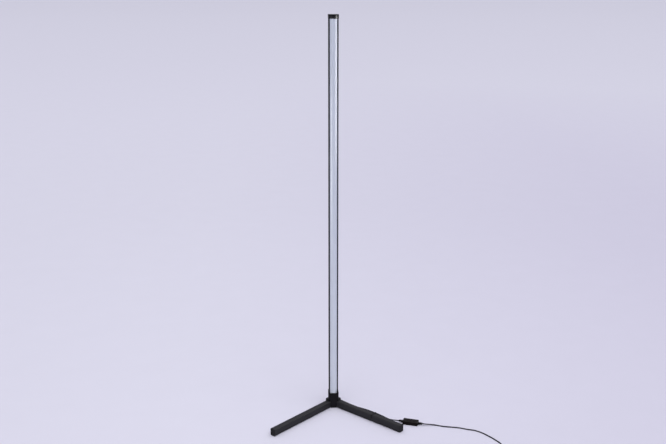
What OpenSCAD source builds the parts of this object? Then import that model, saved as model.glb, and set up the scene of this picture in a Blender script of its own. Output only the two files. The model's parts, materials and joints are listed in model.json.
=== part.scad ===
// Corner floor lamp: a slim light column on a V foot that fits a room corner, with an in-line
// controller on its cord. Millimetres, +Z up, the light side faces -Y, and the origin lies on
// the floor under the crossing of the two legs.

/* [Column] */
// Height of the whole lamp
lamp_h = 1400; // [1100:10:1600]
// Width of the column profile
column_w = 33.5; // [31:0.5:38]
// Depth of the profile, from its front lips to its back
profile_d = 27.25; // [26:0.25:30]
// Distance of the column's back from the lamp's axis
column_back = 13.25; // [12.5:0.25:14]
// Wall of the profile
profile_wall = 1.6; // [1.2:0.1:2]
// Radius of the profile's back corners
profile_r = 5; // [3:0.5:6]
// Width of each front lip, wall included
lip_w = 4; // [3.4:0.1:4.6]
// Depth of the rear chamber, between the web and the back wall
chamber_d = 9; // [8:0.25:10]
// Dark line between two lengths of the column
seam_gap = 0.2; // [0.1:0.05:0.5]
// Length of each splice bar
splice_l = 90; // [60:5:140]
// Distance of a splice's grub screws from the seam
splice_screw_z = 22; // [10:1:25]
// Distance of a splice's grub screws from the middle of the back
splice_screw_x = 8; // [6:0.5:9]

/* [Diffuser] */
// How far the diffuser bulges out in front of the lips
diffuser_bulge = 9.25; // [7:0.25:10.5]
// Wall of the diffuser
diffuser_t = 1.5; // [1:0.1:2]
// Depth of the snap legs behind the front of the lips
snap_d = 4.6; // [3.6:0.1:6]
// How far the snap barbs reach behind the lips
snap_barb = 1; // [0.5:0.1:1.4]

/* [Light strip] */
// Width of the light strip
strip_w = 10; // [8:1:12]
// Thickness of the light strip
strip_t = 0.3; // [0.2:0.05:0.6]
// Edge of a light chip
chip_w = 5; // [3:0.5:6]
// Height of a light chip above the strip
chip_t = 1.6; // [0.8:0.1:2]
// Distance between chips
chip_pitch = 33.3; // [20:0.1:50]
// Width of the strip's connector
connector_w = 12; // [8:0.5:14]
// Thickness of the strip's connector
connector_t = 4.2; // [3.4:0.1:5]
// Length of the strip's connector
connector_l = 12; // [8:0.5:16]

/* [Top cap] */
// Height of the cap above the column
cap_h = 13.5; // [6:0.5:16]
// How far the cap stands out around the column
cap_over = 1.1; // [0.4:0.1:2]
// Depth of the cap's plug in the rear chamber
cap_plug_d = 12; // [6:1:20]

/* [Hub] */
// Wall of the hub's sleeve around the column
hub_wall = 1.5; // [1.2:0.1:2.5]
// Height of the sleeve's top edge above the floor
sleeve_top = 58; // [50:1:80]
// Radius of the sleeve's front corners
sleeve_front_r = 5; // [3:0.5:7]
// Height of the surface that the column stands on
shelf_z = 34; // [33:0.5:40]
// Height of the top of the leg mouths
block_top = 31.5; // [30:0.5:32.5]
// Distance of the leg mouths from the lamp's axis, along the legs
hub_reach = 25.6; // [25.3:0.1:30]
// Thickness of the hub beside a leg
hub_cheek = 3.8; // [3:0.1:5]
// Thickness of the hub's walls around its inner room
hub_room_wall = 2.5; // [2:0.1:3]
// Hole through the shelf for the wires
wire_hole_d = 8; // [6:0.5:9]

/* [Corner bracket] */
// How far the bracket's arms reach along the legs
arm_reach = 62; // [50:1:90]
// Height of the arms
arm_h = 12; // [9:0.5:13]
// Height of the spigot above the shelf
spigot_h = 60; // [45:1:90]
// Height of the spigot's lower grub screw above the shelf, and the distance to the next
spigot_screw_z = 32; // [29:1:36]
// Hole through the spigot's root for the wires
cable_bore_d = 7; // [6:0.5:7.5]

/* [Legs] */
// Width of a leg tube
leg_w = 20; // [19:0.5:22]
// Height of a leg tube
leg_h = 25; // [23:0.5:25.5]
// Wall of a leg tube
leg_wall = 1.5; // [1.2:0.1:2]
// Radius of the tube's edges
leg_r = 3; // [2:0.5:4]
// Distance of the tube's inner end from the lamp's axis
leg_start = 13; // [12.8:0.1:14]
// Distance of the leg's outer end from the lamp's axis
leg_reach = 314; // [250:1:400]
// Thickness of the end plug's face
end_face_t = 1.6; // [1:0.1:3]
// Depth of the end plug in the tube
end_plug_d = 14; // [8:1:25]
// Thickness of the rubber pads under the lamp
foot_t = 1.2; // [0.8:0.1:2]
// Length of a leg's rubber foot
foot_l = 30; // [15:1:50]
// Width of a leg's rubber foot
foot_w = 15; // [8:0.5:16]
// Distance of a foot's outer end from the leg's end
foot_inset = 4; // [2:1:20]

/* [Fasteners] */
// Diameter of the leg screws
leg_screw_d = 4; // [3:0.5:5]
// Length of the leg screws
leg_screw_l = 10; // [7:1:12]
// Distance of the first leg screw from the lamp's axis
leg_screw_t = 35; // [32:1:38]
// Distance between the two screws of a leg
leg_screw_pitch = 18; // [12:1:20]
// Diameter of the cover and hub screws
small_screw_d = 3; // [2.5:0.1:3.5]
// Length of the cover screws
cover_screw_l = 9; // [6:1:11]
// Length of the hub screws
hub_screw_l = 18; // [14:1:19]
// Diameter of the grub screws
grub_d = 4; // [3:0.5:5]
// Length of the grub screws
grub_l = 6; // [5:0.5:7]

/* [Cord] */
// Diameter of the cord
cord_d = 4; // [3.5:0.1:4.2]
// Height of the cord's outlet in the hub's back
outlet_z = 20.5; // [20:0.1:21.5]
// Diameter of the grommet in the wall
grommet_d = 6.4; // [6:0.1:7]
// Length of the grommet outside the hub
grommet_l = 11; // [8:0.5:11]
// Diameter of the wires inside the lamp
lead_d = 3; // [2:0.1:3.4]

/* [Clip] */
// Distance of the cord clip from the lamp's axis, along the right leg
clip_t = 188; // [100:1:260]
// Width of the clip's strap, along the leg
clip_w = 5; // [3:0.5:10]
// Thickness of the strap
strap_t = 1.2; // [0.8:0.1:1.8]
// How far the clip reaches down the sides of the leg
clip_drop = 12; // [6:0.5:20]

/* [Controller] */
// Length of the controller
controller_l = 54; // [50:1:60]
// Width of the controller
controller_w = 27; // [24:0.5:30]
// Height of the controller
controller_h = 13; // [12:0.5:14]
// Wall of the controller's shells
shell_wall = 1.5; // [1.2:0.1:2]
// Radius of the controller's upright edges
controller_r = 3; // [2:0.5:4]
// Bevel around the controller's top and bottom
controller_bevel = 1.2; // [0.6:0.1:1.5]
// Diameter of a push button
button_d = 7; // [5:0.5:8]
// Distance between the buttons
button_pitch = 11.5; // [10:0.5:12]
// How far a button stands out
button_rise = 0.9; // [0.6:0.1:1.5]
// Travel of a button
button_travel = 0.5; // [0.2:0.05:0.8]
// Length of the cord reliefs outside the controller
relief_l = 15; // [12:0.5:16]
// Diameter of a cord relief at the controller
relief_d = 10; // [8:0.25:11]
// Diameter of a cord relief's blunt end
relief_end_d = 7; // [5:0.25:8]

/* [Plug] */
// Width of the plug's body
plug_w = 16; // [14:0.5:18]
// Length of the plug's body
plug_l = 28; // [20:1:36]
// Height of the plug's body
plug_h = 8.4; // [7.5:0.1:9]
// Width of the plug's metal shell
contact_w = 12; // [11.5:0.1:12.5]
// Height of the plug's metal shell
contact_h = 4.5; // [4.2:0.1:5]
// Length of the plug's metal shell
contact_l = 12; // [10:0.5:16]
// Wall of the plug's metal shell
contact_wall = 0.4; // [0.3:0.05:0.5]

/* [Cord coil] */
// Radius of the coil's outer turns
coil_r = 31; // [30.5:0.5:36]
// Step from turn to turn
coil_step = 4.7; // [4.6:0.05:5]
// Step from the lower to the upper layer
coil_rise = 4.6; // [4.5:0.05:5]

/* [Hidden] */
$fn = 48;
// How far a cutting shape runs past the face that it opens
cut = 1;

// Clearances between mating pieces
fit_gap = 0.15;
slide_gap = 0.2;
screw_gap = 0.1;
column_gap = 0.25;
button_gap = 0.25;

// Column, seen from above
column_front = column_back - profile_d;
opening_w = column_w - 2 * lip_w;
inner_w = column_w - 2 * profile_wall;
inner_r = profile_r - profile_wall;
lip_back = column_front + profile_wall;
chamber_back = column_back - profile_wall;
web_back = chamber_back - chamber_d;
web_front = web_back - profile_wall;
edge_r = 0.5;

// Column, along its height
sections = 3;
column_top = lamp_h - cap_h;
section_l = (column_top - shelf_z - (sections - 1) * seam_gap) / sections;

// Diffuser arc from between the lips, a little behind their front, out to the bulge
diffuser_half = opening_w / 2 - fit_gap;
arc_lap = 0.4;
arc_h = diffuser_bulge + arc_lap;
legs_front = column_front + arc_lap;
diffuser_r = (pow(diffuser_half, 2) + pow(arc_h, 2)) / (2 * arc_h);
diffuser_front = column_front - diffuser_bulge;
diffuser_y = diffuser_front + diffuser_r;

// Light strip
strip_foot = shelf_z + 10;
strip_head = column_top - 4;
strip_face = web_front - strip_t;
first_chip = strip_foot + connector_l + chip_w;
chips = floor((strip_head - chip_w - first_chip) / chip_pitch) + 1;

// Legs and their frame: distance t along a leg, offset p to its outer side
leg_top = foot_t + leg_h;
leg_side = leg_w / 2 + slide_gap;
tube_end = leg_reach - end_face_t;

// Hub
hub_back = column_back + column_gap + hub_wall;
hub_front = diffuser_front - column_gap - hub_wall;
hub_w = column_w + 2 * (column_gap + hub_wall);
hub_room_top = leg_top + slide_gap;
block_side = leg_side + hub_cheek;
room_side = block_side - hub_room_wall;
room_end = leg_start - slide_gap;
room_back = hub_back - hub_wall;
sleeve_foot = hub_room_top + 1;
wire_hole_y = -5;
boss_d = 7;

// Corner bracket
bracket_foot = foot_t + leg_wall + slide_gap;
bracket_top = bracket_foot + arm_h;
spigot_top = shelf_z + spigot_h;
spigot_screw_pitch = 18;
pan_head_d = 2 * small_screw_d - 0.4;
pan_head_h = 0.7 * small_screw_d;
hub_screw_seat = bracket_foot + pan_head_h + slide_gap;
hub_screw_place = on_leg(room_end - 5, 5);
cover_screw_ys = [8 - room_end * sqrt(2), room_back - 5.5];
pad_margin = 1.5;

// Clip: the cord is held beside the rounded upper edge of the leg
clip_angle = 12;
clip_ring_r = cord_d / 2 + fit_gap + strap_t;
clip_gap = 0.05;
clip_hold_r = leg_r + clip_ring_r + screw_gap;
clip_hold = [
    leg_w / 2 - leg_r + clip_hold_r * cos(clip_angle),
    leg_top - leg_r + clip_hold_r * sin(clip_angle)
];
clip_mouth = 0.8 * cord_d;

// Controller, in its own frame
controller_place = [262, -164];
controller_turn = -20;
controller_axis = controller_h / 2;
room_ceiling = controller_h - shell_wall;
flange_d = button_d + 1.8;
flange_t = 0.8;
post_d = 5.4;
shell_screw_x = button_pitch + (flange_d + post_d) / 2 + 2 * slide_gap;
shell_screw_l = 9.5;
shell_screw_d = 2.5;
board_size = [2 * shell_screw_x + 5.6, 17, 1.6];
board_foot = 4;
board_top = board_foot + board_size[2];
switch_w = 6;
switch_h = 3.5;
switch_top = board_top + switch_h;
plunger_d = 3.2;
plunger_depth = 2;
button_crown = 0.4;
relief_neck = cord_d + 2;

// Cord relief: flange behind the wall, collar in front of it and grooves along the cone
relief_flange_t = 1.6;
relief_flange_w = 1;
relief_collar_w = 0.5;
relief_tip_d = cord_d + 0.8;
relief_grooves = 4;

// Plug, lying on the floor with its cord end at plug_place and its contacts towards -Y
plug_place = [514, -393.1];
plug_neck_l = 6;
plug_neck_d = 6.4;
plug_bevel = 1.2;
plug_axis = plug_h / 2;
tongue_t = 1.8;

// Routes, from the hub to the plug. They lie behind the leg, over the clip and on the floor.
lead_route = [
    [0, 26.1, 20.5], [0, 30, 20.5], [1, 37, 18.5], [5, 43, 14.5], [12, 46, 9.5], [20, 44, 5.5],
    [27, 37, 3], [34, 28, 2], [43, 18, 2], [53, 6, 2.5], [62, -8, 4], [70, -23, 6.5],
    [77, -38, 10], [84, -53, 14.2], [91.2, -66, 18.4], [99.3, -78.7, 21.8], [108.4, -89.1, 23.7],
    [117.7, -98.8, 24.4], [126.7, -107.8, 24.55], [138.1, -119.2, 24.55],
    [146.6, -127.7, 24.55], [153.3, -134.1, 24.3], [161.1, -140.1, 23.3], [169.5, -144.2, 20.3],
    [178.5, -146, 16], [189, -146.4, 11], [200, -146.4, 8], [210.5, -147, 6.7],
    [218.6, -148.4, 6.5], [222.4, -149.6, 6.5]
];
supply_route = [
    [301.6, -178.4, 6.5], [305.4, -179.8, 6.5], [312, -181.2, 6.1], [320, -181.2, 5.2],
    [329, -180.8, 4], [338, -181.2, 3], [348, -183.4, 2.3], [358, -187.5, 2], [368, -192, 2],
    [378, -195.5, 2], [388, -198, 2], [403, -201.5, 2], [418, -205.5, 2], [428, -209, 2],
    [438, -213.5, 2], [447, -218, 2], [457, -222.5, 2], [467, -226, 2], [476, -230, 2],
    [485, -236.5, 2], [493, -244, 2], [502, -254, 2], [510, -265, 2], [518, -277, 2],
    [525, -288, 2], [532, -300.5, 2], [539, -314, 2], [544, -327, 2], [547, -341, 2],
    [548, -355, 2], [548, -370, 2], [548, -385, 2]
];
plug_route = [
    [575, -358, 6.6], [567, -358, 6.6], [558, -359, 6.6], [548, -361.4, 6.6],
    [538.5, -364.6, 5.6], [529, -369.2, 3.6], [521, -375, 2.4], [516, -382, 2.9],
    [514, -389, 4.2], [514, -393, 4.2]
];
wire_route = [
    [0, 11.6, 20.5], [0, 6, 20.5], [0, 1, 20.5], [0, -3, 22], [0, -5, 26], [0, -5.3, 31],
    [0, -4.3, 35], [0, -2.3, 38.6], [0, -1.35, 41.4], [0, -1.35, 43.9]
];

// Coil: in layers, from the outside in and out again
coil_turns = 6.75;
coil_rings = 24;
coil_start = supply_route[len(supply_route) - 1];
coil_centre = [coil_start[0] + coil_r, coil_start[1] - cord_d];
coil_route = concat(
    [coil_start],
    [for (i = [0:coil_turns * coil_rings]) coil_point(i / coil_rings)],
    [coil_point(coil_turns) - [cord_d, 0, 0]]
);
coil_gap = min([
    for (i = [0:len(coil_route) - 1])
        for (j = [i + coil_rings / 2:1:len(coil_route) - 1])
            norm(coil_route[i] - coil_route[j]) - cord_d
]);
echo(coil_gap = coil_gap);

function section_foot(i) = shelf_z + i * (section_l + seam_gap);
function seam_z(i) = section_foot(i) - seam_gap / 2;

// Point beside the right leg, seen from above: t along the leg, p to its outer side
function on_leg(t, p) = [(t + p) / sqrt(2), (p - t) / sqrt(2)];

// Place on the coil, u turns from its start
function coil_point(u) =
    let (
        half = coil_turns / 2,
        r = coil_r - coil_step * (half - abs(u - half)),
        climb = min(1, max(0, 0.5 + 2 * (u - half))),
        a = 180 + 360 * u
    )
    [coil_centre[0] + r * cos(a), coil_centre[1] + r * sin(a), coil_start[2] + coil_rise * climb];

// Direction of a route at point i, and a side vector that turns with it as little as it can
function heading(route, i) =
    let (d = route[min(i + 1, len(route) - 1)] - route[max(i - 1, 0)]) d / norm(d);
function square_to(v, d) = let (s = v - (v * d) * d) s / norm(s);
function side_vectors(route) = [
    for (i = 0, s = square_to([0, 0, 1], heading(route, 0));
        i < len(route);
        i = i + 1, s = square_to(s, heading(route, min(i, len(route) - 1))))
        s
];

// Round cord along a route
module cord(route, d, sides) {
    n = len(route);
    s = side_vectors(route);
    points = [
        for (i = [0:n - 1], k = [0:sides - 1])
            let (a = 360 * k / sides)
            route[i] + d / 2 * (cos(a) * s[i] + sin(a) * cross(heading(route, i), s[i]))
    ];
    walls = [
        for (i = [0:n - 2], k = [0:sides - 1])
            let (a = i * sides + k, b = i * sides + (k + 1) % sides)
            each [[a, a + sides, b + sides], [a, b + sides, b]]
    ];
    first = [for (k = [0:sides - 1]) k];
    last = [for (k = [sides - 1:-1:0]) (n - 1) * sides + k];
    polyhedron(points, concat(walls, [first], [last]));
}

// Rectangle seen from above, symmetric about x = 0, with rounded front and back corners
module plan(w, front, back, front_r, back_r) {
    translate([-w / 2, front + front_r]) square([w, back - front - front_r - back_r]);
    translate([front_r - w / 2, front]) square([w - 2 * front_r, front_r]);
    translate([back_r - w / 2, back - back_r]) square([w - 2 * back_r, back_r]);
    for (side = [-1, 1]) {
        translate([side * (w / 2 - front_r), front + front_r]) circle(front_r);
        translate([side * (w / 2 - back_r), back - back_r]) circle(back_r);
    }
}

// Upright piece with the given plan between two heights
module between(foot, top) {
    translate([0, 0, foot]) linear_extrude(top - foot) children();
}

// Children drawn with x along a leg and y to its outer side
module leg_frame(side) {
    mirror([side < 0 ? 1 : 0, 0, 0]) rotate([0, 0, -45]) children();
}

// Countersunk screw pointing up from its head's face. A grown one cuts its own hole.
module countersunk(d, l, grow = 0) {
    head_d = 2 * d - 0.4;
    head_h = (head_d - d) / 2;
    difference() {
        union() {
            cylinder(h = head_h, d1 = head_d + 2 * grow, d2 = d + 2 * grow);
            cylinder(h = l + grow, d = d + 2 * grow);
            if (grow > 0) translate([0, 0, -cut]) cylinder(h = cut, d = head_d + 2 * grow);
        }
        if (grow == 0) translate([0, 0, -cut]) cylinder(h = cut + 0.4 * d, d = 0.6 * d, $fn = 6);
    }
}

// ---- Column ----

module profile_plan() {
    difference() {
        plan(column_w, column_front, column_back, edge_r, profile_r);
        translate([-inner_w / 2, lip_back]) square([inner_w, web_front - lip_back]);
        translate([-opening_w / 2, column_front - cut]) square([opening_w, profile_wall + 2 * cut]);
        plan(inner_w, web_back, chamber_back, edge_r, inner_r);
    }
}

// What fills the rear chamber with room to slide
module chamber_plan() {
    plan(inner_w - 2 * slide_gap, web_back + slide_gap, chamber_back - slide_gap,
        edge_r, inner_r - slide_gap);
}

// Front part of a disc around the diffuser's centre, cut off where its snap legs begin
module arc_plan(r) {
    intersection() {
        translate([0, diffuser_y]) circle(r, $fn = 96);
        translate([-column_w / 2, diffuser_front - cut]) square([column_w, arc_h + cut]);
    }
}

module diffuser_plan() {
    inner = diffuser_half - diffuser_t;
    barb = diffuser_half + snap_barb;
    difference() {
        union() {
            arc_plan(diffuser_r);
            polygon([
                [-diffuser_half, legs_front], [diffuser_half, legs_front],
                [diffuser_half, lip_back + fit_gap], [barb, lip_back + fit_gap],
                [diffuser_half, column_front + snap_d], [-diffuser_half, column_front + snap_d],
                [-barb, lip_back + fit_gap], [-diffuser_half, lip_back + fit_gap]
            ]);
        }
        arc_plan(diffuser_r - diffuser_t);
        translate([-inner, legs_front]) square([2 * inner, snap_d]);
    }
}

// Children once at each grub screw of the splice at the given seam
module at_splice_screws(seam) {
    for (x = [-1, 1], z = [-1, 1])
        translate([x * splice_screw_x, column_back, seam_z(seam) + z * splice_screw_z])
            rotate([90, 0, 0]) children();
}

// Children once at each grub screw of the bracket's spigot
module at_spigot_screws() {
    for (i = [0, 1])
        translate([0, column_back, shelf_z + spigot_screw_z + i * spigot_screw_pitch])
            rotate([90, 0, 0]) children();
}

// Hole for a grub screw, from the back of the column to its seat
module grub_hole() {
    translate([0, 0, -cut]) cylinder(h = cut + grub_l + 1, d = grub_d + 2 * screw_gap);
}

module profile(i) {
    color("#2b2b2f") difference() {
        between(section_foot(i), section_foot(i) + section_l) profile_plan();
        if (i == 0) at_spigot_screws() grub_hole();
        if (i > 0) at_splice_screws(i) grub_hole();
        if (i < sections - 1) at_splice_screws(i + 1) grub_hole();
    }
}

module diffuser(i) {
    color("#c9cbd8") between(section_foot(i), section_foot(i) + section_l) diffuser_plan();
}

module splice(seam) {
    color("#8d8f93") difference() {
        between(seam_z(seam) - splice_l / 2, seam_z(seam) + splice_l / 2) chamber_plan();
        at_splice_screws(seam) grub_hole();
    }
}

module grub_screw() {
    difference() {
        translate([0, 0, slide_gap]) cylinder(h = grub_l, d = grub_d);
        cylinder(h = slide_gap + grub_l / 3, d = grub_d / 2, $fn = 6);
    }
}

module grub_screws() {
    color("#3a3a3d") {
        at_spigot_screws() grub_screw();
        for (seam = [1:sections - 1]) at_splice_screws(seam) grub_screw();
    }
}

module cap_plan() {
    plan(column_w + 2 * cap_over, column_front - cap_over, column_back + cap_over,
        edge_r + cap_over, profile_r + cap_over);
    translate([0, diffuser_y]) circle(diffuser_r + cap_over, $fn = 96);
}

module top_cap() {
    color("#141416") {
        between(column_top, lamp_h) cap_plan();
        between(column_top - cap_plug_d, column_top) chamber_plan();
    }
}

// ---- Light strip and wires ----

module light_strip() {
    color("#e8e6dc") translate([-strip_w / 2, strip_face, strip_foot])
        cube([strip_w, strip_t, strip_head - strip_foot]);
}

module light_chips() {
    color("#f2e7a8") for (i = [0:chips - 1])
        translate([-chip_w / 2, strip_face - chip_t, first_chip + i * chip_pitch])
            cube([chip_w, chip_t, chip_w]);
}

module strip_connector() {
    color("#f4f4f2")
        translate([-connector_w / 2, strip_face - connector_t, strip_foot])
            cube([connector_w, connector_t, connector_l]);
}

module inner_lead() {
    color("#202022") cord(wire_route, lead_d, 8);
}

// ---- Hub ----

// Block of the hub that holds the legs, seen from above
module block_plan() {
    front_x = hub_reach * sqrt(2) + hub_front;
    back_x = block_side * sqrt(2) - hub_back;
    side = on_leg(hub_reach, block_side);
    polygon([
        [-front_x, hub_front], [front_x, hub_front], side, [back_x, hub_back],
        [-back_x, hub_back], [-side[0], side[1]]
    ]);
}

// Room between the legs' inner ends, drawn in by a margin
module room_plan(margin) {
    back = room_back - margin;
    back_x = (room_side - margin) * sqrt(2) - back;
    side = on_leg(room_end - margin, room_side - margin);
    polygon([
        [back_x, back], side, [0, -(room_end - margin) * sqrt(2)], [-side[0], side[1]],
        [-back_x, back]
    ]);
}

// The bracket's spigot: as wide as the column's rear chamber and the room below it allow
module spigot_plan() {
    intersection() {
        chamber_plan();
        room_plan(slide_gap);
    }
}

// Slot in the shelf that the spigot comes up through
module spigot_slot_plan() {
    intersection() {
        plan(inner_w, web_back, chamber_back, edge_r, inner_r);
        room_plan(slide_gap / 2);
    }
}

// Cross-section of the bracket's arms: they follow the rounded edges inside the leg tubes
module arm_section() {
    intersection() {
        leg_section(leg_wall + slide_gap);
        translate([-leg_w / 2, 0]) square([leg_w, bracket_top]);
    }
}

module at_hub_screws() {
    for (side = [-1, 1]) translate([side * hub_screw_place[0], hub_screw_place[1]]) children();
}

module hub_body() {
    color("#1b1b1d") difference() {
        union() {
            between(foot_t, block_top) block_plan();
            between(sleeve_foot, sleeve_top)
                plan(hub_w, hub_front, hub_back, sleeve_front_r, profile_r + hub_wall);
        }
        between(shelf_z, sleeve_top + cut)
            plan(column_w + 2 * column_gap, diffuser_front - column_gap, column_back + column_gap,
                sleeve_front_r - hub_wall, profile_r);
        difference() {
            between(foot_t - cut, hub_room_top) room_plan(0);
            at_hub_screws() translate([0, 0, bracket_top]) cylinder(h = leg_h, d = boss_d);
        }
        for (side = [-1, 1]) leg_frame(side)
            translate([room_end - cut, -leg_side, foot_t - cut])
                cube([leg_reach, 2 * leg_side, hub_room_top - foot_t + cut]);
        between(hub_room_top - cut, shelf_z + cut) spigot_slot_plan();
        translate([0, wire_hole_y, hub_room_top - cut])
            cylinder(h = shelf_z - hub_room_top + 2 * cut, d = wire_hole_d);
        translate([0, hub_back + cut, outlet_z]) rotate([90, 0, 0])
            cylinder(h = hub_wall + 2 * cut, d = grommet_d + 2 * fit_gap);
        translate([0, room_back, outlet_z]) rotate([90, 0, 0])
            cylinder(h = relief_flange_t + 2 * fit_gap, d = grommet_d + 2 * (relief_flange_w + fit_gap));
        at_hub_screws() translate([0, 0, hub_screw_seat])
            cylinder(h = hub_screw_l + 0.6, d = small_screw_d + 2 * screw_gap);
    }
}

module hub_screws() {
    color("#9a9ca0") at_hub_screws() translate([0, 0, hub_screw_seat]) difference() {
        union() {
            translate([0, 0, -pan_head_h]) cylinder(h = pan_head_h, d = pan_head_d);
            cylinder(h = hub_screw_l, d = small_screw_d);
        }
        translate([0, 0, -pan_head_h - cut])
            cylinder(h = cut + pan_head_h / 2, d = 0.6 * small_screw_d, $fn = 6);
    }
}

module at_cover_screws() {
    for (y = cover_screw_ys) translate([0, y, foot_t + screw_gap]) children();
}

// Casting that joins the legs and carries the column
module corner_bracket() {
    color("#8d8f93") difference() {
        union() {
            between(bracket_foot, bracket_top) room_plan(slide_gap);
            for (side = [-1, 1]) leg_frame(side) along_leg(0, arm_reach) arm_section();
            between(bracket_foot, spigot_top) spigot_plan();
        }
        at_hub_screws() {
            translate([0, 0, bracket_foot - cut])
                cylinder(h = cut + hub_screw_seat - bracket_foot, d = pan_head_d + 2 * slide_gap);
            translate([0, 0, bracket_foot])
                cylinder(h = arm_h + cut, d = small_screw_d + 2 * slide_gap);
        }
        at_cover_screws() countersunk(small_screw_d, cover_screw_l, screw_gap);
        at_leg_screws() countersunk(leg_screw_d, leg_screw_l, screw_gap);
        at_spigot_screws() grub_hole();
        translate([0, chamber_back, outlet_z]) rotate([90, 0, 0])
            cylinder(h = chamber_d + cut, d = cable_bore_d);
    }
}

module bottom_cover() {
    color("#1b1b1d") difference() {
        between(foot_t, bracket_foot) room_plan(slide_gap);
        at_cover_screws() countersunk(small_screw_d, cover_screw_l, screw_gap);
    }
}

module cover_screws() {
    color("#9a9ca0") at_cover_screws() countersunk(small_screw_d, cover_screw_l);
}

module hub_pad() {
    color("#101011") between(0, foot_t) room_plan(pad_margin);
}

// ---- Legs ----

// Cross-section of a leg, drawn in by a margin, with x across it and y up
module leg_section(margin) {
    r = max(leg_r - margin, edge_r);
    plan(leg_w - 2 * margin, foot_t + margin, leg_top - margin, r, r);
}

// Length of leg with the given section, from one distance along the leg to another
module along_leg(from, to) {
    translate([from, 0, 0]) rotate([90, 0, 90]) linear_extrude(to - from) children();
}

module at_leg_screws() {
    for (side = [-1, 1], i = [0, 1]) leg_frame(side)
        translate([leg_screw_t + i * leg_screw_pitch, 0, foot_t + screw_gap]) children();
}

module leg(side) {
    color("#2b2b2f") difference() {
        leg_frame(side) along_leg(leg_start, tube_end) difference() {
            leg_section(0);
            leg_section(leg_wall);
        }
        at_leg_screws() countersunk(leg_screw_d, leg_screw_l, screw_gap);
    }
}

module leg_screws() {
    color("#9a9ca0") at_leg_screws() countersunk(leg_screw_d, leg_screw_l);
}

module leg_plug(side) {
    color("#232326") leg_frame(side) {
        along_leg(tube_end, leg_reach) leg_section(0);
        along_leg(tube_end - end_plug_d, tube_end) difference() {
            leg_section(leg_wall + fit_gap);
            leg_section(2 * leg_wall);
        }
    }
}

module leg_foot(side) {
    color("#101011") leg_frame(side)
        translate([leg_reach - foot_inset - foot_l, -foot_w / 2, 0]) cube([foot_l, foot_w, foot_t]);
}

// ---- Cord and clip ----

// Moulded relief around a cord that leaves a wall upwards. The wall's outer face is at z = 0.
module cord_relief(neck_d, root_d, end_d, wall, l) {
    tip_r = end_d / 2;
    root_r = root_d / 2;
    flange_r = neck_d / 2 + relief_flange_w;
    groove_l = l / (2 * relief_grooves + 2);
    difference() {
        rotate_extrude() polygon([
            [0, -wall - fit_gap - relief_flange_t],
            [flange_r, -wall - fit_gap - relief_flange_t],
            [flange_r, -wall - fit_gap],
            [neck_d / 2, -wall - fit_gap],
            [neck_d / 2, fit_gap],
            [root_r, fit_gap],
            [root_r, groove_l],
            [tip_r, l],
            [0, l]
        ]);
        for (i = [1:relief_grooves]) translate([0, 0, 2 * i * groove_l]) rotate_extrude()
            translate([tip_r - 0.2, 0]) square([root_r, groove_l]);
    }
}

module cord_grommet() {
    color("#161618") translate([0, hub_back, outlet_z]) rotate([-90, 0, 0])
        cord_relief(grommet_d, grommet_d + 2 * relief_collar_w, relief_tip_d, hub_wall, grommet_l);
}

module lead_cord() {
    color("#232330") cord(lead_route, cord_d, 8);
}

module cord_clip() {
    top = leg_top + clip_gap;
    side = leg_w / 2 + clip_gap;
    color("#161618") leg_frame(1) along_leg(clip_t - clip_w / 2, clip_t + clip_w / 2) difference() {
        union() {
            translate([-side - strap_t, top]) square([side + strap_t + clip_hold[0], strap_t]);
            translate([-side - strap_t, leg_top - clip_drop]) square([strap_t, clip_drop + strap_t]);
            translate([side, leg_top - clip_drop])
                square([strap_t, clip_hold[1] - leg_top + clip_drop]);
            translate(clip_hold) circle(clip_ring_r);
        }
        translate(clip_hold) circle(cord_d / 2 + fit_gap);
        translate(clip_hold) rotate(45) translate([0, -clip_mouth / 2]) square([cord_d, clip_mouth]);
    }
}

module supply_cord() {
    color("#232330") cord(supply_route, cord_d, 8);
}

module cord_coil() {
    color("#232330") cord(coil_route, cord_d, 6);
}

// ---- Controller ----

module controller_frame() {
    translate([controller_place[0], controller_place[1], 0]) rotate([0, 0, controller_turn])
        children();
}

// Bevelled rectangle of width w, from the floor to the controller's top
module bevelled(w) {
    b = controller_bevel;
    polygon([
        [-w / 2 + b, 0], [w / 2 - b, 0], [w / 2, b], [w / 2, controller_h - b],
        [w / 2 - b, controller_h], [-w / 2 + b, controller_h], [-w / 2, controller_h - b],
        [-w / 2, b]
    ]);
}

// Outer shape of the two shells together
module controller_block() {
    intersection() {
        between(0, controller_h)
            plan(controller_l, -controller_w / 2, controller_w / 2, controller_r, controller_r);
        rotate([90, 0, 0]) linear_extrude(controller_w, center = true) bevelled(controller_l);
        rotate([90, 0, 90]) linear_extrude(controller_l, center = true) bevelled(controller_w);
    }
}

// Room inside the two shells, and the holes for the cord reliefs
module controller_room() {
    inner = controller_w / 2 - shell_wall;
    r = controller_r - shell_wall;
    between(shell_wall, room_ceiling) plan(controller_l - 2 * shell_wall, -inner, inner, r, r);
    translate([0, 0, controller_axis]) rotate([0, 90, 0])
        cylinder(h = controller_l + 2 * cut, d = relief_neck + 2 * fit_gap, center = true);
}

module at_shell_screws() {
    for (side = [-1, 1]) translate([side * shell_screw_x, 0, 0]) children();
}

module controller_base() {
    color("#2a2522") controller_frame() difference() {
        union() {
            difference() {
                intersection() {
                    controller_block();
                    between(0, controller_axis) square(2 * controller_l, center = true);
                }
                controller_room();
            }
            at_shell_screws() translate([0, 0, shell_wall])
                cylinder(h = board_foot - shell_wall, d = post_d);
        }
        at_shell_screws() translate([0, 0, screw_gap])
            countersunk(shell_screw_d, shell_screw_l, screw_gap);
    }
}

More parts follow.
